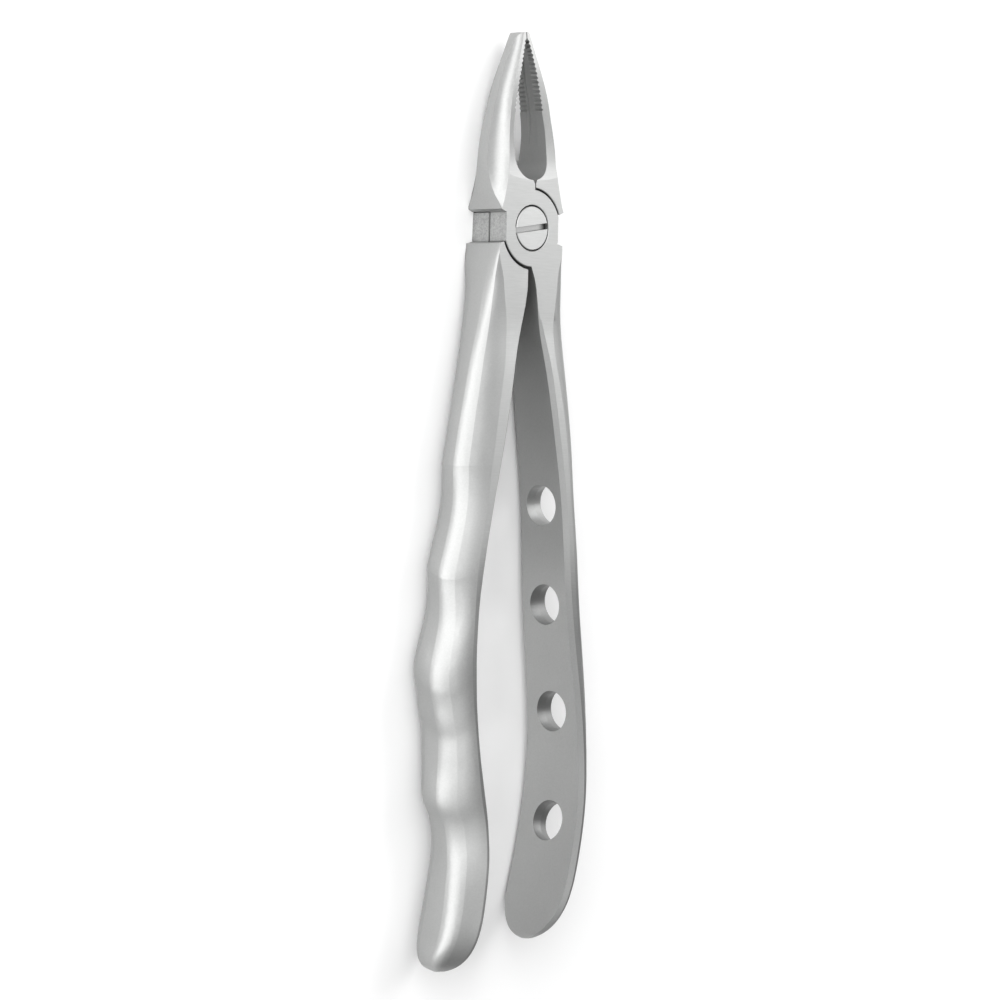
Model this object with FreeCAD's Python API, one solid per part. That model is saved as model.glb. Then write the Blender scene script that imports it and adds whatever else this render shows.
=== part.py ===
import FreeCAD, Part
import math
import os

V = FreeCAD.Vector

# Frame, in mm: the joint axis is Z through the origin, the jaws point to +Y, the handles to -Y.
# The front half has the left jaw (-X) and the right handle (+X), and laps over the back half in +Z.
# Everything is drawn about the middle plane of the joint, then raised so that its back face is at Z 0.

# Lap joint
FACE_Z = 4.6            # half the thickness of the joint
LAP_GAP = 0.06          # each lap face stands this far from the middle plane
DISC_R = 7.25           # round lap of each half
NECK_X = 6.75           # flats ground on both sides of the laps
UPPER_R = 7.58          # hollow in the jaw root that clears the other half's lap
LOWER_R = 7.75          # hollow in the handle root that clears it
JAW_STEP_X = 0.5        # the jaw roots overlap this far past the middle
HANDLE_STEP_X = 0.65    # the handle roots likewise
STEP_GAP = 0.22
SHOULDER_SLOPE = 22.0   # the underside of the jaw root lies on a plane through the joint axis
SHOULDER_Y = -2.7       # top of the handle root beside the neck
SHOULDER_FALL = 0.26    # its outward fall
BREAK = 0.12            # bevel that breaks the sharp edges of the joint
ROOT_Y = -17.0          # the handle roots are as thin as the joint above this height
STEP_TOP_Y = 9.3        # top of the step where the jaw roots overlap
STEP_EASE = 1.7         # height over which its inner corner is cut away
STEP_EASE_X = 0.55
STEP_CORNER = (0.7, 1.1)    # bevel of its outer corner, across and down
OVER = 6.0              # cutters reach this far in front of and behind the middle plane
WIDE = 12.0             # cutters for the sides reach this far from the joint axis

# Screw
HEAD_R = 4.1
HEAD_GAP = 0.22
HEAD_Z = 3.0            # underside of the head
SHANK_R = 3.0
SHANK_GAP = 0.05
THREAD_R = 2.5
SLOT_WIDTH = 1.15
SLOT_DEPTH = 1.1
SLOT_ANGLE = 8.6

# Jaws: distances from the middle plane against height
TIP_Y = 36.8
TIP_GAP = 0.1
TIP_CURVE = [(2.72, 34.0), (2.1, 35.15), (1.45, 36.0), (0.8, 36.55), (0.0, TIP_Y)]     # nose of each jaw
JAW_OUT = [(1.0, 7.95), (4.1, 8.15), (8.5, 8.75), (12.0, 8.95), (15.6, 8.66), (18.5, 8.18),
           (22.8, 7.08), (27.1, 5.7), (31.4, 3.95), (34.2, 2.6), (38.0, 0.9)]
JAW_STRIP = [(1.0, 4.8), (3.4, 4.5), (5.5, 3.2), (8.1, 2.1), (12.0, 1.4), (19.0, 1.1), (28.0, 0.9),
             (38.0, 0.7)]
RIDGE_X = [(1.0, 7.9), (3.4, 7.7), (5.6, 7.2), (7.5, 6.8), (10.0, 6.25), (15.6, 5.8), (19.5, 5.4),
           (23.4, 4.8), (27.2, 3.8), (30.7, 2.6), (35.3, 1.1), (38.0, 0.3)]
RIDGE_Z = [(1.0, 4.8), (8.0, 4.75), (12.0, 4.3), (18.0, 3.65), (24.0, 3.25), (30.0, 2.75), (35.0, 2.1),
           (38.0, 1.7)]
MIDDLE_Z = [(1.0, 4.8), (8.0, 4.7), (12.0, 3.3), (15.0, 1.9), (19.0, 1.5), (24.0, 1.8), (28.0, 2.2),
            (32.0, 2.3), (38.0, 1.6)]
BEAK_IN = [(0.0, 8.95), (1.4, 9.2), (2.9, 10.1), (3.85, 11.6), (4.2, 14.5), (4.1, 18.4), (3.45, 21.9),
           (2.8, 25.1), (2.1, 28.2), (1.4, 31.0), (0.8, 33.3), (TIP_GAP, 35.6)]
MIDDLE_X = -1.2         # the front bevel is drawn down to this distance past the mating face
BEAK_FOOT_Y = 8.95      # bottom of the opening between the jaws
FLUTE_HOLLOW = 0.55
FLUTE_WIDTH = 2.2       # flutes narrower than this are shallower
FLUTE_LEAST = 0.05      # least width of a flute
FLUTE_REACH = 1.4       # pull on the middle of the flute, as a share of its hollow

# Serrations and groove on the inner face of each jaw
TEETH = 16
TOOTH_PITCH = 0.84
TOOTH_DEPTH = 0.34
TOOTH_START_Y = 22.0
GROOVE_HALF = 1.15
GROOVE_DEPTH = 0.75
GROOVE_Y = 15.5
GROOVE_TOP_Y = 36.0
TOOTH_ROOM = 0.5        # tooth and groove cutters start this far inside the opening

# Handles: inner face, half depth and thickness against height
RIGHT_EDGE = (1.1, 0.5)     # bevel round the inner face: across the front, and down the inner face
LEFT_EDGE = (0.45, 0.4)
RIGHT_IN = [(-2.7, -1.6), (-7.4, 0.1), (-8.8, 0.8), (-10.8, 1.25), (-13.8, 1.75), (-19.9, 2.9),
            (-23.3, 3.75), (-33.4, 5.75), (-42.4, 7.15), (-51.5, 8.45), (-60.5, 9.2), (-69.5, 9.9),
            (-79.6, 11.1), (-90.5, 12.45), (-99.6, 12.95), (-105.6, 12.75), (-111.6, 12.0),
            (-117.6, 10.9), (-123.6, 9.4), (-130.0, 7.2), (-133.2, 5.8)]
LEFT_IN = [(-2.7, -1.6), (-7.8, 0.35), (-10.8, 0.85), (-12.3, 1.05), (-15.5, 1.55), (-23.3, 3.25),
           (-33.4, 5.1), (-42.4, 7.0), (-51.4, 9.1), (-60.5, 11.0), (-72.5, 12.85), (-81.5, 13.35),
           (-87.5, 13.25), (-96.6, 12.45), (-105.6, 10.85), (-111.6, 9.8), (-117.6, 9.4),
           (-123.6, 9.85), (-130.0, 11.0), (-135.0, 12.2), (-138.6, 13.1)]
RIGHT_DEPTH = [(-2.7, 4.8), (-12.0, 4.72), (-19.0, 4.7), (-26.0, 5.1), (-33.4, 5.4), (-51.5, 5.95),
               (-69.5, 6.3), (-79.6, 6.6), (-96.6, 7.3), (-102.6, 7.65), (-111.6, 8.1), (-118.0, 8.2),
               (-134.0, 8.1)]
LEFT_DEPTH = [(-2.7, 4.8), (-12.0, 4.72), (-19.0, 4.7), (-26.0, 5.1), (-33.4, 5.4), (-51.5, 5.85),
              (-69.5, 6.2), (-81.5, 6.55), (-96.6, 6.85), (-117.0, 6.95), (-139.0, 7.0)]
RIGHT_THICK = [(-2.7, 9.6), (-6.3, 8.85), (-8.0, 8.3), (-10.8, 7.95), (-14.0, 7.8), (-18.4, 7.6),
               (-24.4, 7.2), (-33.4, 5.9), (-42.4, 4.4), (-51.5, 3.65), (-60.5, 3.8), (-72.0, 3.9),
               (-81.5, 3.95), (-90.5, 3.75), (-102.6, 3.55), (-118.0, 3.5), (-128.0, 3.15), (-134.0, 3.1)]
LEFT_THICK = [(-2.7, 10.0), (-6.3, 9.2), (-9.3, 8.85), (-12.3, 8.85), (-15.4, 8.9), (-21.4, 8.8),
              (-27.4, 8.95), (-33.4, 9.05), (-39.4, 8.95), (-44.3, 8.7)]
RIGHT_END_Y = -133.2
LEFT_END_Y = -138.6
END_R = 9.3             # length of the rounding at the handle ends, across the depth
END_BACK_R = 3.4        # and across the thickness
END_LEAST = (0.1, 0.3)  # least shares of depth and thickness left at the end
END_DRAW = 0.3          # share of the lost thickness by which the inner face draws back
EDGE_FROM_Y = -12.0     # the bevel round the inner face grows between these two heights
EDGE_TO_Y = -24.0
EDGE_LEAST = 0.15       # its share above them
EDGE_LIMIT = (0.3, 0.4) # the bevel is never more than these shares of thickness and half depth
SIDE_STRIP = [(-2.7, 4.7), (-5.0, 4.5), (-6.3, 4.2), (-9.3, 3.55), (-12.3, 3.1), (-18.4, 2.85), (-24.4, 2.6),
              (-30.4, 2.3), (-50.0, 2.3)]
SLAB_FROM_Y = -20.0     # the root turns into the flat smooth grip between these two heights
SLAB_TO_Y = -45.0
SQUARE_Y = -60.0        # the smooth grip has squarer outer edges above this height
ROUND_Y = -105.0        # and rounder ones below this one
SQUARE = [(0.4, 1.0), (0.6, 0.995), (0.85, 0.98), (0.94, 0.9), (1.0, 0.8), (1.01, 0.6), (1.03, 0.0)]
ROUND = [(0.3, 0.995), (0.5, 0.97), (0.7, 0.9), (0.88, 0.79), (0.97, 0.66), (1.0, 0.4), (1.03, 0.0)]

# Wavy handle and both roots: where the flat ends, the shoulder and the side ridge, as shares of the section
FLAT_SHARE = [(-2.7, 0.95), (-5.0, 0.83), (-6.3, 0.74), (-9.3, 0.64), (-12.3, 0.55), (-15.4, 0.48),
              (-21.4, 0.34), (-26.0, 0.28), (-36.0, 0.27), (-56.0, 0.2), (-93.0, 0.1), (-139.0, 0.1)]
SHOULDER_SHARE = [(-2.7, 0.97), (-5.0, 0.92), (-9.3, 0.866), (-12.3, 0.82), (-15.4, 0.78), (-21.4, 0.7),
                  (-27.4, 0.65), (-36.0, 0.61), (-56.0, 0.5), (-81.5, 0.43), (-93.5, 0.38), (-102.6, 0.36),
                  (-118.0, 0.3), (-139.0, 0.3)]
SHOULDER_DROP = [(-2.7, 0.0), (-6.3, 0.02), (-9.3, 0.05), (-15.4, 0.075), (-24.0, 0.1), (-36.0, 0.135),
                 (-56.0, 0.13), (-81.5, 0.06), (-93.0, 0.07), (-118.0, 0.1), (-139.0, 0.1)]
BEND_ARM = 0.15         # how far the edge of the flat, and the side ridge, are rounded
RIDGE_ARM = 0.45
RIDGE_SHARE = [(-2.7, 0.995), (-9.3, 0.98), (-15.4, 0.97), (-36.0, 0.955), (-139.0, 0.95)]
GRIP_RIDGE = [(-26.0, 2.4), (-36.0, 2.2), (-56.0, 2.4), (-69.5, 2.5), (-81.5, 3.15), (-88.0, 3.2),
              (-102.0, 2.8), (-112.0, 2.8), (-118.0, 3.4), (-124.0, 4.0), (-130.0, 4.3)]
RIDGE_LIMIT = 0.62      # highest ridge of the wavy grip, as a share of the half depth
RIDGE_FROM_Y = -19.0    # the root's side ridge turns into the grip's between these two heights
RIDGE_TO_Y = -26.0

# Finger waves of the left handle: thickness down each wave; waves meet in creases, the last is one hump
WAVES = [
    [(-44.3, 8.7), (-46.5, 8.0), (-49.5, 7.15), (-52.3, 6.77), (-55.5, 6.85), (-58.5, 7.15), (-61.0, 7.5),
     (-63.0, 7.55)],
    [(-63.0, 7.55), (-65.5, 6.8), (-68.0, 6.25), (-70.5, 6.05), (-73.5, 6.45), (-76.5, 7.25), (-79.0, 7.9),
     (-80.8, 8.1), (-82.2, 8.05)],
    [(-82.2, 8.05), (-84.5, 7.5), (-87.0, 7.0), (-90.5, 6.4), (-94.2, 6.3), (-97.5, 6.75), (-100.5, 7.4),
     (-103.0, 8.0), (-105.0, 8.25), (-106.5, 8.05), (-108.5, 7.2), (-110.5, 6.65), (-113.0, 6.41),
     (-117.0, 6.5), (-121.0, 6.7), (-126.0, 6.8), (-139.0, 6.75)],
]
LEAN = [(-30.0, 0.0), (-44.3, 0.5), (-63.0, 3.0), (-82.2, 4.0), (-105.0, 2.6), (-124.0, 0.0)]
LEAN_SHARE = [(-1.0, 0.6), (-0.5, 1.0), (0.0, 0.55), (0.5, 0.25), (1.0, 0.1)]   # from front to back

# Through holes of the right handle
HOLE_Y = [-51.7, -70.4, -90.5, -111.1]
HOLE_RIM_R = 3.85
HOLE_WAIST_R = 3.6
HOLE_REACH = 3.0        # the cutter stands out of the handle by this much


def curve(table, y):
    """Smooth value of a table of (height, value) pairs at a height."""
    rows = sorted(table)
    if y <= rows[0][0]:
        return rows[0][1]
    if y >= rows[-1][0]:
        return rows[-1][1]
    i = max(k for k in range(len(rows) - 1) if rows[k][0] <= y)
    slopes = []
    for k in (i, i + 1):
        if k == 0 or k == len(rows) - 1:
            a, b = (rows[0], rows[1]) if k == 0 else (rows[-2], rows[-1])
            slopes.append((b[1] - a[1]) / (b[0] - a[0]))
            continue
        left = (rows[k][1] - rows[k - 1][1]) / (rows[k][0] - rows[k - 1][0])
        right = (rows[k + 1][1] - rows[k][1]) / (rows[k + 1][0] - rows[k][0])
        slopes.append(2 * left * right / (left + right) if left * right > 0 else 0.0)
    h = rows[i + 1][0] - rows[i][0]
    t = (y - rows[i][0]) / h
    a = rows[i][1] * (1 + 2 * t) * (1 - t) ** 2 + slopes[0] * h * t * (1 - t) ** 2
    return a + rows[i + 1][1] * t * t * (3 - 2 * t) + slopes[1] * h * t * t * (t - 1)


def ease(y, start, stop):
    """0 above start, 1 below stop, smooth between."""
    t = min(1.0, max(0.0, (start - y) / (start - stop)))
    return t * t * (3 - 2 * t)


def bezier(poles):
    """A Bezier edge through its end poles."""
    c = Part.BezierCurve()
    c.setPoles(poles)
    return c.toShape()


def line(a, b):
    return bezier([a, (a + b) * 0.5, b])


def prism(points, smooth, z0, z1):
    """Solid between two depths from an outline: the smooth points as one spline, then straight edges."""
    spline = Part.BSplineCurve()
    spline.interpolate([V(x, y, z0) for x, y in smooth])
    corners = [V(*smooth[-1], z0)] + [V(x, y, z0) for x, y in points] + [V(*smooth[0], z0)]
    edges = [spline.toShape()] + [Part.makeLine(a, b) for a, b in zip(corners, corners[1:])]
    return Part.Face(Part.Wire(edges)).extrude(V(0, 0, z1 - z0))


def through(outline, front=OVER):
    """Cutter of an outline, from behind the part to the given depth."""
    points = [V(x, y, -OVER) for x, y in outline]
    return Part.Face(Part.makePolygon(points + points[:1])).extrude(V(0, 0, OVER + front))


def block(across, along, front=OVER):
    """Square cutter between two distances across and two heights, from behind to the given depth."""
    back = -max(OVER, front)
    size = (across[1] - across[0], along[1] - along[0], front - back)
    return Part.makeBox(*size, V(across[0], along[0], back))


def turned(shape):
    """The same shape on the other half: half a turn about the long axis."""
    s = shape.copy()
    s.rotate(V(0, 0, 0), V(0, 1, 0), 180)
    return s


def mirrored(shape):
    return shape.mirror(V(0, 0, 0), V(1, 0, 0))


def jaw_section(y):
    """Closed section of the right jaw at a height: side strip, two hollow flutes, two bevels, middle."""
    out, strip = curve(JAW_OUT, y), curve(JAW_STRIP, y)
    rx, rz, mz = curve(RIDGE_X, y), curve(RIDGE_Z, y), curve(MIDDLE_Z, y)
    strip = min(strip, rz)
    rx = min(rx, out - FLUTE_LEAST)
    hollow = FLUTE_HOLLOW * ease(-y, -2.5, -12.0) * min(1.0, (out - rx) / FLUTE_WIDTH)
    fx, fz = (out + rx) / 2 - hollow * FLUTE_REACH, (strip + rz) / 2 - hollow * FLUTE_REACH
    right = [V(out, y, -strip), V(out, y, strip), V(rx, y, rz), V(MIDDLE_X, y, mz)]
    left = [V(MIDDLE_X, y, -mz), V(rx, y, -rz)]
    return Part.Wire([
        line(right[0], right[1]),
        bezier([right[1], V(fx, y, fz), right[2]]),
        line(right[2], right[3]),
        line(right[3], left[0]),
        line(left[0], left[1]),
        bezier([left[1], V(fx, y, -fz), right[0]]),
    ])


def right_jaw():
    """Right jaw with its hollow inner face, teeth and groove, before the joint is cut."""
    heights = [1.0, 2.5, 4.0, 5.5, 7.0, 9.0, 11.0, 13.5, 16.5, 20.0, 24.0, 28.0, 31.5, 35.0, 38.0]
    body = Part.makeLoft([jaw_section(y) for y in heights], True, False)
    top = heights[-1] + 2
    body = body.common(Part.makeBox(14, top, 2 * FACE_Z, V(-3, 0, -FACE_Z)))
    fall = WIDE * math.tan(math.radians(SHOULDER_SLOPE))
    body = body.cut(through([(-WIDE, 0), (0, 0), (WIDE, fall), (WIDE, -4), (-WIDE, -4)]))
    tip = prism([(-2, TIP_Y), (-2, top), (6, top), (6, TIP_CURVE[0][1])], TIP_CURVE, -OVER, OVER)
    inner = prism([(TIP_GAP, top), (-2, top), (-2, BEAK_FOOT_Y)], BEAK_IN, -OVER, OVER)
    return body.cut(tip).cut(inner).cut(teeth()).cut(groove()).removeSplitter()


def beak_x(y):
    return curve([(q, p) for p, q in BEAK_IN], y)


def teeth():
    """Saw-tooth cutter along the inner face."""
    points = []
    for k in range(TEETH):
        y = TOOTH_START_Y + k * TOOTH_PITCH
        points.append((beak_x(y), y))
        points.append((beak_x(y + TOOTH_PITCH / 2) + TOOTH_DEPTH, y + TOOTH_PITCH / 2))
    y = TOOTH_START_Y + TEETH * TOOTH_PITCH
    return through(points + [(beak_x(y), y), (-TOOTH_ROOM, y), (-TOOTH_ROOM, TOOTH_START_Y)])


def groove():
    """Long shallow groove down the middle of the inner face, fading out above the joint."""
    heights = [GROOVE_Y, 18.0, 21.0, 25.0, 29.0, 33.0, GROOVE_TOP_Y]
    depth = [0.0, 0.4, GROOVE_DEPTH, GROOVE_DEPTH, GROOVE_DEPTH, GROOVE_DEPTH, GROOVE_DEPTH * 0.8]
    smooth = [(beak_x(y) + d, y) for y, d in zip(heights, depth)]
    return prism([(-TOOTH_ROOM, GROOVE_TOP_Y), (-TOOTH_ROOM, GROOVE_Y)], smooth, -GROOVE_HALF, GROOVE_HALF)


def edge_bevel(edge, y, depth, thick):
    """Width and height of the bevel round the inner face; it fades out towards the joint."""
    grown = EDGE_LEAST + (1 - EDGE_LEAST) * ease(y, EDGE_FROM_Y, EDGE_TO_Y)
    return min(edge[0] * grown, thick * EDGE_LIMIT[0]), min(edge[1] * grown, depth * EDGE_LIMIT[1])


def root_poles(y, start, depth, thick, ridge):
    """Front quarter of a section: flat, rounded shoulder, side ridge, back."""
    flat = V(max(curve(FLAT_SHARE, y) * thick, start + 0.1), depth, 0)
    shoulder = V(curve(SHOULDER_SHARE, y) * thick, depth * (1 - curve(SHOULDER_DROP, y)), 0)
    shoulder.x = max(shoulder.x, flat.x + 0.2)
    corner = V(curve(RIDGE_SHARE, y) * thick, min(ridge, 0.98 * shoulder.y), 0)
    back = V(thick, 0, 0)
    bent = flat + (shoulder - flat) * BEND_ARM
    turn = (shoulder + corner) * 0.5
    below = corner + (back - corner) * RIDGE_ARM
    points = [V(start, depth, 0), flat, bent, shoulder, turn, corner, below, back]
    return [(p.x, p.y) for p in points]


def blend(first, second, w):
    """Poles a share w of the way from the first set to the second."""
    return [((1 - w) * p[0] + w * q[0], (1 - w) * p[1] + w * q[1]) for p, q in zip(first, second)]


def slab_poles(y, start, depth, thick):
    """Front quarter of the smooth handle's section."""
    shares = blend(SQUARE, ROUND, ease(y, SQUARE_Y, ROUND_Y))
    slab = [(start, depth)] + [(a * thick, b * depth) for a, b in shares]
    root = root_poles(y, start, depth, thick, curve(SIDE_STRIP, y))
    return blend(root, slab, ease(y, SLAB_FROM_Y, SLAB_TO_Y))


def handle_section(y, table, poles, edge, lean, shift):
    """Closed section of a right-hand handle, lowered by a share of the lean that changes with depth."""
    depth = poles[0][1]

    def place(x, z):
        level = y - lean * curve(LEAN_SHARE, z / depth)
        return V(curve(table, level) + shift + x, level, z)

    front = [place(x, z) for x, z in poles]
    back = [place(x, -z) for x, z in poles]
    foot, head = place(0.0, -(depth - edge)), place(0.0, depth - edge)
    edges = [line(foot, head), line(head, front[0])]
    edges += [bezier(front[k:k + 3]) for k in (0, 2, 4)]
    edges.append(bezier([front[6], front[7], back[6]]))
    edges += [bezier(back[k:k + 3][::-1]) for k in (4, 2, 0)]
    edges.append(line(back[0], foot))
    return Part.Wire(edges)


def end_share(y, end, radius, least):
    """How much of a width is left beside a rounded end."""
    rest = y - end
    if rest >= radius:
        return 1.0
    return max(least, math.sqrt(max(0.0, 1 - (1 - rest / radius) ** 2)))


def ends(end, radius):
    """Heights that follow the rounded end of a handle."""
    return [end + radius * (1 - math.sin(math.radians(a))) for a in (0, 20, 38, 54, 67, 77, 84)]


def closed(strips, first, last):
    """One solid from sleeve surfaces that share their edge rings, with flat ends."""
    faces = [Part.Face(first), Part.Face(last)]
    for s in strips:
        faces += s.Faces
    sewn = Part.makeCompound(faces)
    sewn.sewShape()
    shell = sewn.Shells[0]
    solid = Part.Solid(shell)
    if solid.Volume < 0:
        solid.reverse()
    return solid


def rounded(y, end, thick):
    """Shares of depth and thickness left near a rounded end, and how far the inner face draws back."""
    share = end_share(y, end, END_R, END_LEAST[0])
    plump = end_share(y, end, END_BACK_R, END_LEAST[1])
    return share, plump, END_DRAW * thick * (1 - plump)


def right_section(y):
    thick = curve(RIGHT_THICK, y)
    share, plump, back = rounded(y, RIGHT_END_Y, thick)
    depth, thick = curve(RIGHT_DEPTH, y) * share, thick * plump
    start, edge = edge_bevel(RIGHT_EDGE, y, depth, thick)
    return handle_section(y, RIGHT_IN, slab_poles(y, start, depth, thick), edge, 0.0, back)


def right_handle():
    """Smooth handle, before its root is cut for the joint."""
    heights = [-2.7, -4.5, -7.0, -10.0, -14.0, -19.0, -25.0, -32.0, -40.0, -50.0, -60.0, -70.0, -80.0, -90.0,
               -99.0, -106.0, -112.0, -118.0] + ends(RIGHT_END_Y, END_R) + [RIGHT_END_Y + 0.05]
    body = Part.makeLoft([right_section(y) for y in heights], True, False)
    for y in HOLE_Y:
        body = body.cut(hole(y))
    return body


def hole(y):
    """Through hole square to the inner face, narrowest half way through."""
    rise = (curve(RIGHT_IN, y + 1) - curve(RIGHT_IN, y - 1)) / 2
    axis = V(1, -rise, 0).normalize()
    half = curve(RIGHT_THICK, y) / 2
    waist = V(curve(RIGHT_IN, y), y, 0) + axis * half
    length = half + HOLE_REACH
    wide = HOLE_WAIST_R + (HOLE_RIM_R - HOLE_WAIST_R) * length / half
    inward = Part.makeCone(HOLE_WAIST_R, wide, length, waist, axis * -1)
    return inward.fuse(Part.makeCone(HOLE_WAIST_R, wide, length, waist, axis))


def left_section(y, wave):
    thick = curve(wave, y)
    share, plump, back = rounded(y, LEFT_END_Y, thick)
    depth, thick = curve(LEFT_DEPTH, y) * share, thick * plump
    start, edge = edge_bevel(LEFT_EDGE, y, depth, thick)
    w = ease(y, RIDGE_FROM_Y, RIDGE_TO_Y)
    ridge = (1 - w) * curve(SIDE_STRIP, y) + w * min(curve(GRIP_RIDGE, y), RIDGE_LIMIT * depth)
    poles = root_poles(y, start, depth, thick, ridge)
    return handle_section(y, LEFT_IN, poles, edge, curve(LEAN, y), back)


def left_handle():
    """Wavy handle in the place of the right one; its finger waves meet in creases."""
    root = [-2.7, -4.5, -7.0, -10.0, -14.0, -19.0, -24.0, -29.0, -34.0, -38.0, -41.5, -44.3]
    last = [y for y, _ in WAVES[-1][:-1]] + ends(LEFT_END_Y, END_R) + [LEFT_END_Y + 0.05]
    sleeves = [(root, LEFT_THICK)] + [([y for y, _ in wave], wave) for wave in WAVES[:-1]]
    sleeves.append((last, WAVES[-1]))
    strips = [Part.makeLoft([left_section(y, w) for y in heights], False, False) for heights, w in sleeves]
    return closed(strips, left_section(root[0], LEFT_THICK), left_section(last[-1], WAVES[-1]))


def cylinder(radius, z0, z1):
    return Part.makeCylinder(radius, z1 - z0, V(0, 0, z0))


def topped(radius, z0, z1):
    """Cylinder with its upper edge broken."""
    body = cylinder(radius, z0, z1)
    rim = [e for e in body.Edges if e.BoundBox.ZMin > z1 - BREAK]
    return body.makeChamfer(BREAK, rim)


def recess(radius, depth_z):
    """Cutter for a round recess in the front face, a little wider at the face."""
    flare = Part.makeCone(radius, radius + 2 * BREAK, 2 * BREAK, V(0, 0, FACE_Z - BREAK))
    return cylinder(radius, depth_z, OVER).fuse(flare)


def lap():
    """Front lap with ground flats on both sides, their inner edges broken."""
    inner, outer = NECK_X - BREAK, NECK_X
    points = [V(-inner, -WIDE, LAP_GAP), V(inner, -WIDE, LAP_GAP), V(outer, -WIDE, LAP_GAP + BREAK),
              V(outer, -WIDE, OVER), V(-outer, -WIDE, OVER), V(-outer, -WIDE, LAP_GAP + BREAK)]
    flats = Part.Face(Part.makePolygon(points + points[:1])).extrude(V(0, 2 * WIDE, 0))
    return topped(DISC_R, LAP_GAP, FACE_Z).common(flats)


def half(handle):
    """Front half: left jaw, front lap and the given right-hand handle."""
    jaw = mirrored(right_jaw())
    jaw = jaw.cut(block((JAW_STEP_X, WIDE), (0, WIDE)))
    gap_x, front = -JAW_STEP_X - STEP_GAP, LAP_GAP
    jaw = jaw.cut(block((gap_x, WIDE), (0, STEP_TOP_Y - LAP_GAP), front))
    jaw = jaw.cut(through([(-JAW_STEP_X, STEP_TOP_Y - STEP_EASE), (-JAW_STEP_X, STEP_TOP_Y),
                           (-JAW_STEP_X - STEP_EASE_X, STEP_TOP_Y)], front))
    across, down = STEP_CORNER
    jaw = jaw.cut(through([(JAW_STEP_X, STEP_TOP_Y - down), (JAW_STEP_X, STEP_TOP_Y),
                           (JAW_STEP_X - across, STEP_TOP_Y)]))
    jaw = jaw.cut(turned(recess(UPPER_R, -LAP_GAP)))
    thin = Part.makeBox(2 * WIDE, 2 * WIDE, 2 * FACE_Z, V(-WIDE, ROOT_Y, -FACE_Z))
    root = handle.common(thin).fuse(handle.cut(block((-2 * WIDE, 2 * WIDE), (ROOT_Y, WIDE), 2 * OVER)))
    root = root.cut(block((-WIDE, -HANDLE_STEP_X), (-WIDE, 0)))
    root = root.cut(block((-WIDE, HANDLE_STEP_X + STEP_GAP), (-WIDE, 0), front))
    root = root.cut(turned(recess(LOWER_R, -LAP_GAP)))
    low = SHOULDER_Y - (WIDE - NECK_X) * SHOULDER_FALL
    root = root.cut(through([(NECK_X, SHOULDER_Y), (WIDE, low), (WIDE, 0)]))
    return jaw.fuse([lap(), root]).removeSplitter()


def front_half():
    body = half(right_handle())
    body = body.cut(cylinder(SHANK_R + SHANK_GAP, -LAP_GAP, OVER))
    return body.cut(recess(HEAD_R + HEAD_GAP, HEAD_Z - SHANK_GAP))


def back_half():
    body = turned(half(left_handle()))
    return body.cut(cylinder(THREAD_R, -OVER, LAP_GAP))


def pivot_screw():
    """Flush slotted head, plain shank in the front half, threaded end in the back half."""
    body = topped(HEAD_R, HEAD_Z, FACE_Z)
    body = body.fuse([cylinder(SHANK_R, 0.0, HEAD_Z), cylinder(THREAD_R, -FACE_Z, 0.0)])
    slot = Part.makeBox(WIDE, SLOT_WIDTH, OVER, V(-WIDE / 2, -SLOT_WIDTH / 2, FACE_Z - SLOT_DEPTH))
    slot.rotate(V(0, 0, 0), V(0, 0, 1), SLOT_ANGLE)
    return body.cut(slot).removeSplitter()


os.makedirs("parts", exist_ok=True)
for name, shape in (
    ("front_half", front_half()),
    ("back_half", back_half()),
    ("pivot_screw", pivot_screw()),
):
    solids = shape.Solids
    print(name, len(solids), "solid, valid", shape.isValid(), "volume", round(shape.Volume, 1))
    shape = solids[0] if len(solids) == 1 else shape
    shape.translate(V(0, 0, FACE_Z))
    shape.exportStep("parts/" + name + ".step")
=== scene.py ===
import math

import bpy
from mathutils import Matrix, Vector


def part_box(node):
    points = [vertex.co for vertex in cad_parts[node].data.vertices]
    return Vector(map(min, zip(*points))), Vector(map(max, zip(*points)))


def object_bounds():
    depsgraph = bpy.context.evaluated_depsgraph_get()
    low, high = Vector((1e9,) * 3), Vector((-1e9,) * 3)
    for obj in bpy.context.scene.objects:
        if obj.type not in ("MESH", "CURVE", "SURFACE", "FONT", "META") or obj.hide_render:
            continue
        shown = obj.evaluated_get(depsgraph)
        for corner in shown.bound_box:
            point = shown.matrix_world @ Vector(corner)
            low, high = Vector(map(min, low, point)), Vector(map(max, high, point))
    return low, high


# Metres. Origin on the joint axis at the joint's back face, +Y to the jaw tips, +Z to the screw head,
# +X to the smooth handle. Angles are in degrees.

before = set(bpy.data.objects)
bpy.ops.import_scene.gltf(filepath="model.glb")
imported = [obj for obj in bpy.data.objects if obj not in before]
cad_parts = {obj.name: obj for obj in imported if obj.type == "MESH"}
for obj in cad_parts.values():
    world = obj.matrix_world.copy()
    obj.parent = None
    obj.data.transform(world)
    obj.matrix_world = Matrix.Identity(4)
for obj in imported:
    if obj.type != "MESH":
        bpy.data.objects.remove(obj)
cad_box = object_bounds()

FRONT, BACK, SCREW = (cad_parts[name] for name in ("front_half", "back_half", "pivot_screw"))

MM = 0.001

# The joint: its flat front face, with which the screw is flush, and the middle between its discs
FACE_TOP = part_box("pivot_screw")[1][2]
JOINT_MIDDLE = FACE_TOP / 2

# The rough flats at the joint's two sides: their X, their two ends, the length over which their look
# starts at an end, and how far out in X it goes, none to full
NECK_X = 6.75 * MM
NECK_LOW = -3.0 * MM
NECK_HIGH = 3.8 * MM
NECK_FADE = 0.2 * MM
NECK_REACH = (NECK_X + 0.3 * MM, NECK_X + 0.1 * MM)

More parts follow.
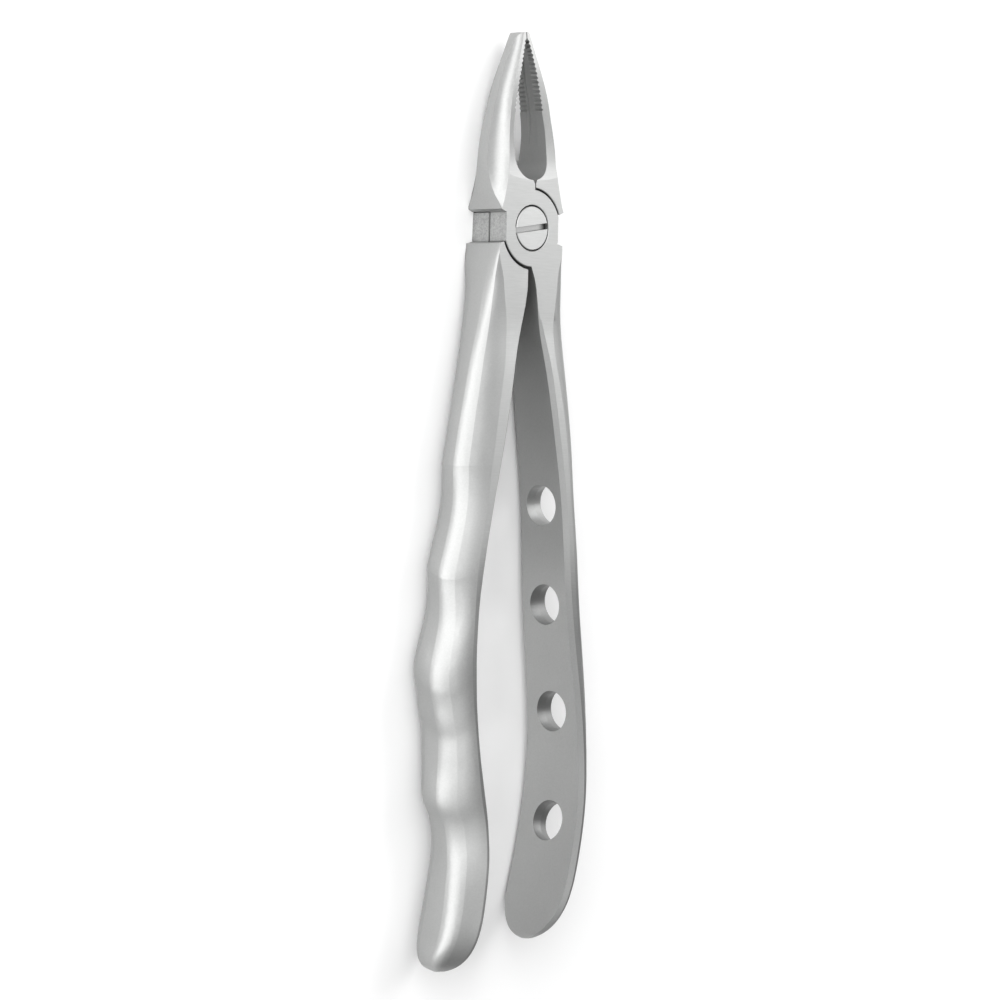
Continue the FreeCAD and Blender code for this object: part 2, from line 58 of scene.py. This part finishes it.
# Steel: red, green and blue of its tone, and roughness
STEEL_TONE = (0.406, 0.409, 0.406)
HALF_ROUGHNESS = 0.5
SCREW_ROUGHNESS = 0.44
GROUND_SMOOTHER = 0.05
NECK_ROUGHER = 0.15
ROUGHNESS_CLOUDS = 0.12

# How straight a surface faces along Z to be a ground flat, and along X to be a rough one: none to full
GROUND_FACING = (0.96, 0.995)
NECK_FACING = (0.95, 0.99)

# Noise patterns, whose values lie about a middle of 0.5
CROSS_LINES = {"scale": 300, "detail": 4, "stretch": (1, 30, 1)}
SATIN_GRAIN = {"scale": 3000, "detail": 5, "rough": 0.7}
NECK_SPECKLE = {"scale": 2600, "detail": 5, "rough": 0.75}
CLOUDS = {"scale": 170, "detail": 5, "stretch": (1, 0.5, 1)}
FLOOR_CLOUDS = {"scale": 3.0, "detail": 3}
NOISE_MIDDLE = 0.5

# How much the patterns change the tone
GRAIN_DEPTH = 0.26
NECK_GRAIN_DEPTH = 1.3
CLOUD_DEPTH = 0.12
NECK_DARKER = 0.04

# Relief of the grain
BUMP_STRENGTH = 0.35
BUMP_DEPTH = 0.012 * MM
NECK_BUMP = 3.0

# Painted shade in crevices: samples, how far neighbours count, how open a place is from darkest to plain,
# and the darkest share
CREVICE_SAMPLES = 8
CREVICE_DISTANCE = 1.6 * MM
CREVICE_OPEN = (0.05, 0.75)
CREVICE_SHADE_SHARE = 0.45

# Painted shade on the seam between the discs on the rough flats: distance from its middle line, none to
# full, and the share
SEAM_REACH = (0.24 * MM, 0.2 * MM)
SEAM_SHADE_SHARE = 0.3

# Painted shade down in the screw's slot: depth below the face where it is darkest, and where it is plain
# again, and the share
SLOT_DEPTHS = (0.9 * MM, 0.2 * MM)
SLOT_SHADE_SHARE = 0.92

# Painted light and shade on the sides of the handles below their roots, with shares fitted to how bright
# the sides
# look: where they start along Y, then the X of the surface's normal, none to full, and the share of the
# plain tone
HANDLE_START = (-56 * MM, -70 * MM)
# The wavy handle gets painted shade on faces toward +X; the smooth handle gets painted light on its inner
# face toward -X and painted shade on the rest
WAVY_PAINTED_SHADE = [(-0.6, 0.0, 0.62)]
SMOOTH_PAINTED_LIGHT_AND_SHADE = [(-0.7, -0.95, 1.2), (-0.7, -0.2, 0.7)]

# Floor: three places that it passes through, under the smooth handle, the grip and the joint's back
FLOOR_PLACES = [(14 * MM, -115 * MM, -3.7 * MM), (-13 * MM, -118 * MM, -2.5 * MM), (0, 9 * MM, 0)]
FLOOR_HALF_SIZE = 3.0
FLOOR_TONES = (0.91, 0.93)
FLOOR_ROUGHNESS = 0.9

# Light of the room: its mean, and how it changes along X, Y and Z
ROOM_LEVEL = 1.12
ROOM_SLOPE = (-0.69, 0.36, -0.4)

# Lamps beside the tool: angle from the left horizon over the top, then sizes, brightness and place along Y
LEFT_LAMP = {"angle": 30, "distance": 1.0, "width": 1.0, "length": 1.8, "radiance": 1.75, "y": 0.55}
RIGHT_LAMP = {"angle": 135, "distance": 0.4, "width": 0.3, "length": 0.5, "radiance": 2.5, "y": 0.24}

# Camera: its turn about the tool's long axis, its roll in the picture, the height that it takes in, how
# far off it stands and how far it sees
VIEW_TURN = 44.3
VIEW_ROLL = -1.3
VIEW_HEIGHT = 187 * MM
VIEW_DISTANCE = 1.1
VIEW_LIMIT = 20


# ---------------------------------------------------------------- materials


class Nodes:
    """Short ways of making and joining the shader nodes of one material."""

    def __init__(self, name):
        self.material = bpy.data.materials.new(name)
        self.material.use_nodes = True
        self.tree = self.material.node_tree
        self.shader = self.tree.nodes["Principled BSDF"]

    def make(self, kind, **settings):
        node = self.tree.nodes.new("ShaderNode" + kind)
        for key, value in settings.items():
            setattr(node, key, value)
        return node

    def link(self, source, target):
        """Join an output to an input, or set the input where the source is a number."""
        if isinstance(source, (int, float)):
            target.default_value = source
        else:
            self.tree.links.new(source, target)

    def math(self, operation, a, b=0.0, clamp=False):
        node = self.make("Math", operation=operation, use_clamp=clamp)
        self.link(a, node.inputs[0])
        self.link(b, node.inputs[1])
        return node.outputs[0]

    def size(self, value):
        return self.math("ABSOLUTE", value)

    def product(self, first, *others):
        result = first
        for factor in others:
            result = self.math("MULTIPLY", result, factor)
        return result

    def total(self, first, *others):
        result = first
        for term in others:
            result = self.math("ADD", result, term)
        return result

    def mix(self, factor, a, b):
        """A number that goes from a to b."""
        node = self.make("Mix")
        self.link(factor, node.inputs["Factor"])
        self.link(a, node.inputs["A"])
        self.link(b, node.inputs["B"])
        return node.outputs["Result"]

    def step(self, value, none, full):
        """0 where value is at none or past it, 1 at full or past it, smooth between."""
        node = self.make("MapRange", interpolation_type="SMOOTHSTEP")
        self.link(value, node.inputs["Value"])
        rises = none < full
        node.inputs["From Min"].default_value = min(none, full)
        node.inputs["From Max"].default_value = max(none, full)
        node.inputs["To Min"].default_value = 0.0 if rises else 1.0
        node.inputs["To Max"].default_value = 1.0 if rises else 0.0
        return node.outputs["Result"]

    def split(self, vector):
        """The X, Y and Z of a vector."""
        node = self.make("SeparateXYZ")
        self.link(vector, node.inputs["Vector"])
        return node.outputs

    def grey(self, shade, tone=(1.0, 1.0, 1.0)):
        """The colour of a tone, times a number."""
        node = self.make("CombineColor")
        for socket, share in zip(node.inputs, tone):
            self.link(self.math("MULTIPLY", shade, share, clamp=True), socket)
        return node.outputs["Color"]

    def noise(self, position, scale, stretch=(1, 1, 1), detail=3.0, rough=0.5):
        """Noise with about one bump in each 1/scale metres along an axis with stretch 1."""
        mapping = self.make("Mapping")
        mapping.inputs["Scale"].default_value = stretch
        self.link(position, mapping.inputs["Vector"])
        node = self.make("TexNoise")
        node.inputs["Scale"].default_value = scale
        node.inputs["Detail"].default_value = detail
        node.inputs["Roughness"].default_value = rough
        self.link(mapping.outputs["Vector"], node.inputs["Vector"])
        return node.outputs["Fac"]

    def swing(self, noise, depth):
        """Noise about zero instead of its middle, times a depth."""
        return self.product(self.math("SUBTRACT", noise, NOISE_MIDDLE), depth)


def joint_side(nodes, x, y):
    """1 beside the joint, in its stretch of Y and no further out than its rough flats."""
    above = nodes.step(y, NECK_LOW, NECK_LOW + NECK_FADE)
    below = nodes.step(y, NECK_HIGH, NECK_HIGH - NECK_FADE)
    return nodes.product(above, below, nodes.step(nodes.size(x), *NECK_REACH))


def crevice_painted_shade(nodes):
    """Painted shade: share of the tone that is left where neighbours close a place in."""
    closed_in = nodes.make("AmbientOcclusion", samples=CREVICE_SAMPLES)
    closed_in.inputs["Distance"].default_value = CREVICE_DISTANCE
    return nodes.mix(nodes.step(closed_in.outputs["AO"], *CREVICE_OPEN), CREVICE_SHADE_SHARE, 1.0)


def seam_painted_shade(nodes, z, beside_joint):
    """Painted shade: share of the tone that is left on the seam between the joint's discs."""
    off_middle = nodes.size(nodes.math("SUBTRACT", z, JOINT_MIDDLE))
    seam = nodes.product(nodes.step(off_middle, *SEAM_REACH), beside_joint)
    return nodes.mix(seam, 1.0, SEAM_SHADE_SHARE)


def slot_painted_shade(nodes, z):
    """Painted shade: share of the tone that is left down in the screw's slot."""
    deep, shallow = SLOT_DEPTHS
    return nodes.mix(nodes.step(z, FACE_TOP - deep, FACE_TOP - shallow), SLOT_SHADE_SHARE, 1.0)


def painted_side_light_tone(nodes, y, facing_x, none, full, share):
    """Painted light and shade: share of the tone on one side of a handle, below its root."""
    side = nodes.product(nodes.step(facing_x, none, full), nodes.step(y, *HANDLE_START))
    return nodes.mix(side, 1.0, share)


def steel(name, rough, painted_side_light=(), has_slot=False):
    """Satin stainless steel: cross lines on ground flats, speckle on rough ones, fine grain elsewhere."""
    nodes = Nodes(name)
    coords = nodes.make("TexCoord")
    position = coords.outputs["Object"]
    x, y, z = nodes.split(position)
    facing_x, _, facing_z = nodes.split(coords.outputs["Normal"])

    ground = nodes.step(nodes.size(facing_z), *GROUND_FACING)
    beside_joint = joint_side(nodes, x, y)
    neck = nodes.product(beside_joint, nodes.step(nodes.size(facing_x), *NECK_FACING))

    clouds = nodes.noise(position, **CLOUDS)
    grain = nodes.mix(ground, nodes.noise(position, **SATIN_GRAIN), nodes.noise(position, **CROSS_LINES))
    grain = nodes.mix(neck, grain, nodes.noise(position, **NECK_SPECKLE))

    shade = nodes.total(
        nodes.swing(grain, nodes.mix(neck, GRAIN_DEPTH, NECK_GRAIN_DEPTH)),
        nodes.swing(clouds, CLOUD_DEPTH),
        1.0,
        nodes.product(neck, -NECK_DARKER))
    # Painted shade in crevices, darker where neighbours close a place in
    # Painted shade on the seam between the joint's discs
    shade = nodes.product(shade, crevice_painted_shade(nodes), seam_painted_shade(nodes, z, beside_joint))
    # Painted shade down in the screw's slot
    if has_slot:
        shade = nodes.product(shade, slot_painted_shade(nodes, z))
    # Painted light and shade on the handles' sides
    for none, full, share in painted_side_light:
        shade = nodes.product(shade, painted_side_light_tone(nodes, y, facing_x, none, full, share))
    nodes.link(nodes.grey(shade, STEEL_TONE), nodes.shader.inputs["Base Color"])

    level = nodes.mix(ground, rough, rough - GROUND_SMOOTHER)
    level = nodes.mix(neck, level, rough + NECK_ROUGHER)
    level = nodes.math("ADD", level, nodes.swing(clouds, ROUGHNESS_CLOUDS), clamp=True)
    nodes.link(level, nodes.shader.inputs["Roughness"])
    nodes.shader.inputs["Metallic"].default_value = 1.0

    bump = nodes.make("Bump")
    bump.inputs["Strength"].default_value = BUMP_STRENGTH
    bump.inputs["Distance"].default_value = BUMP_DEPTH
    nodes.link(nodes.product(grain, nodes.mix(neck, 1.0, NECK_BUMP)), bump.inputs["Height"])
    nodes.link(bump.outputs["Normal"], nodes.shader.inputs["Normal"])
    return nodes.material


def floor_material():
    """Matt pale floor, a little uneven in tone."""
    nodes = Nodes("floor")
    clouds = nodes.noise(nodes.make("TexCoord").outputs["Object"], **FLOOR_CLOUDS)
    nodes.link(nodes.grey(nodes.mix(clouds, *FLOOR_TONES)), nodes.shader.inputs["Base Color"])
    nodes.shader.inputs["Roughness"].default_value = FLOOR_ROUGHNESS
    return nodes.material


def paint(obj, material):
    obj.data.materials.clear()
    obj.data.materials.append(material)


# ---------------------------------------------------------------- stage


def floor():
    """Pale floor through the three places, which the tool lies on."""
    handle, grip, joint = (Vector(place) for place in FLOOR_PLACES)
    normal = (grip - handle).cross(joint - handle).normalized()
    if normal.z < 0:
        normal.negate()
    half = FLOOR_HALF_SIZE
    mesh = bpy.data.meshes.new("floor")
    corners = [(-half, -half, 0), (half, -half, 0), (half, half, 0), (-half, half, 0)]
    mesh.from_pydata(corners, [], [(0, 1, 2, 3)])
    obj = bpy.data.objects.new("floor", mesh)
    bpy.context.collection.objects.link(obj)
    obj.rotation_mode = "QUATERNION"
    obj.rotation_quaternion = normal.to_track_quat("Z", "Y")
    obj.location = handle
    paint(obj, floor_material())


def put(obj, right, up, back, spot):
    """Put a lamp or a camera at spot, facing away from back, and add it to the scene."""
    turn = Matrix((right, up, back)).transposed()
    obj.matrix_world = Matrix.Translation(spot) @ turn.to_4x4()
    bpy.context.collection.objects.link(obj)


def softbox(name, angle, distance, width, length, radiance, y):
    """Long lamp beside the tool, which shines at the tool's long axis."""
    light = bpy.data.lights.new(name, "AREA")
    light.shape = "RECTANGLE"
    light.size = width
    light.size_y = length
    light.energy = radiance * math.pi * width * length
    turn = math.radians(angle)
    toward = Vector((-math.cos(turn), 0, math.sin(turn)))
    across = Vector((math.sin(turn), 0, math.cos(turn)))
    along = Vector((0, 1, 0))
    put(bpy.data.objects.new(name, light), across, along, toward, toward * distance + along * y)


def room():
    """Soft white room, brighter towards the jaws and the left, darker to the right and overhead."""
    world = bpy.data.worlds.new("world")
    bpy.context.scene.world = world
    world.use_nodes = True
    tree = world.node_tree
    coords = tree.nodes.new("ShaderNodeTexCoord")
    slope = tree.nodes.new("ShaderNodeVectorMath")
    slope.operation = "DOT_PRODUCT"
    slope.inputs[1].default_value = ROOM_SLOPE
    level = tree.nodes.new("ShaderNodeMath")
    level.inputs[1].default_value = ROOM_LEVEL
    background = tree.nodes["Background"]
    background.inputs["Color"].default_value = (1.0, 1.0, 1.0, 1.0)
    tree.links.new(coords.outputs["Generated"], slope.inputs[0])
    tree.links.new(slope.outputs["Value"], level.inputs[0])
    tree.links.new(level.outputs["Value"], background.inputs["Strength"])
    bpy.context.scene.view_settings.view_transform = "Standard"


def camera():
    """Long lens that takes in the whole tool."""
    turn = math.radians(VIEW_TURN)
    roll = math.radians(VIEW_ROLL)
    level = Vector((math.cos(turn), 0, math.sin(turn)))
    back = Vector((-math.sin(turn), 0, math.cos(turn)))
    along = Vector((0, 1, 0))
    right = level * math.cos(roll) - along * math.sin(roll)
    up = along * math.cos(roll) + level * math.sin(roll)
    data = bpy.data.cameras.new("camera")
    data.lens = data.sensor_width * VIEW_DISTANCE / VIEW_HEIGHT
    data.clip_end = VIEW_LIMIT
    low, high = cad_box
    middle = (Vector(low) + Vector(high)) / 2
    obj = bpy.data.objects.new("camera", data)
    put(obj, right, up, back, middle + back * VIEW_DISTANCE)
    bpy.context.scene.camera = obj


paint(FRONT, steel("satin_steel_front", HALF_ROUGHNESS, SMOOTH_PAINTED_LIGHT_AND_SHADE))
paint(BACK, steel("satin_steel_back", HALF_ROUGHNESS, WAVY_PAINTED_SHADE))
paint(SCREW, steel("satin_steel_screw", SCREW_ROUGHNESS, has_slot=True))
floor()
room()
softbox("left_lamp", **LEFT_LAMP)
softbox("right_lamp", **RIGHT_LAMP)
camera()
